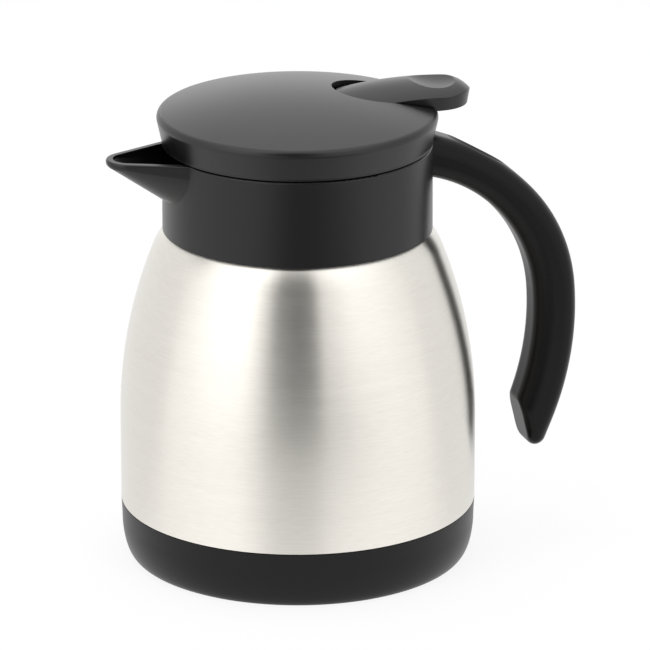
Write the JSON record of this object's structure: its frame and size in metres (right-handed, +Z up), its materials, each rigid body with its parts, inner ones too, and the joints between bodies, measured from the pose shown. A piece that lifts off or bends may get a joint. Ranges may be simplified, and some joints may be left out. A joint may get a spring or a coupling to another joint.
{
  "type": "thermal carafe",
  "caption": "vacuum table carafe of brushed steel with black plastic base, spout collar, open-ended handle and a screw-in stopper lid whose thumb lever lifts a pouring valve",
  "frame": {"origin": "centre of the ring that the base stands on, on the body's axis, at table height", "axes": "+Z up along the body's axis, +X towards the handle, -X towards the spout, +Y to the left seen from the handle's side"},
  "size_m": [0.1644, 0.12, 0.1623],
  "materials": {
    "brushed_steel": "stainless steel brushed round the body, satin",
    "flask_steel": "drawn stainless steel, plain mill finish",
    "getter_metal": "dull pressed metal tablet",
    "base_plastic": "black polypropylene with a fine matt texture",
    "collar_plastic": "black polypropylene with a fine matt texture",
    "handle_plastic": "black polypropylene with a fine matt texture",
    "lid_plastic": "black polypropylene with a fine matt texture",
    "lever_plastic": "black polypropylene with a fine matt texture",
    "stopper_plastic": "black polypropylene, smooth moulding",
    "valve_plastic": "grey acetal, smooth moulding",
    "silicone": "translucent grey food-grade silicone",
    "spring_steel": "stainless spring wire",
    "screw_steel": "plain stainless steel"
  },
  "bodies": {
    "pot": {"outer_shell": "brushed_steel", "inner_flask": "flask_steel", "flask_bottom": "flask_steel", "getter": "getter_metal", "shell_bottom": "flask_steel", "vacuum_cap": "flask_steel", "base_cup": "base_plastic", "collar": "collar_plastic", "neck_gasket": "silicone", "pour_ring": "collar_plastic", "handle": "handle_plastic", "handle_screws": "screw_steel"},
    "seal_ring": {"stopper_gasket": "silicone"},
    "lid": {"stopper": "stopper_plastic", "stem_guide": "stopper_plastic", "stem_seal": "silicone", "lid_cover": "lid_plastic", "lid_screws": "screw_steel", "lever_pin": "screw_steel", "valve_spring": "spring_steel"},
    "thumb_lever": {"lever": "lever_plastic"},
    "valve": {"valve_stem": "valve_plastic", "valve_seal": "silicone"}
  },
  "joints": [
    {"name": "lid_lift", "type": "slide", "parent": "pot", "child": "seal_ring", "axis": [0, 0, 1], "range_m": [0, 0.0601]},
    {"name": "lid_turn", "type": "hinge", "parent": "seal_ring", "child": "lid", "pos_m": [0, 0, 0.13], "axis": [0, 0, 1], "range_deg": [0, 900]},
    {"name": "lever_press", "type": "hinge", "parent": "lid", "child": "thumb_lever", "pos_m": [0.025, 0, 0.1565], "axis": [0, 1, 0], "range_deg": [0, 7], "stiffness_Nm_per_rad": 1, "springref_deg": -8.59},
    {"name": "valve_lift", "type": "slide", "parent": "lid", "child": "valve", "axis": [0, 0, 1], "range_m": [0, 0.0034], "deforming": ["valve_spring"]}
  ],
  "couplings": [
    {"joint": "lid_lift", "follows": "lid_turn", "m_per_rad": 0.0038197},
    {"joint": "valve_lift", "follows": "lever_press", "m_per_rad": 0.0278}
  ]
}
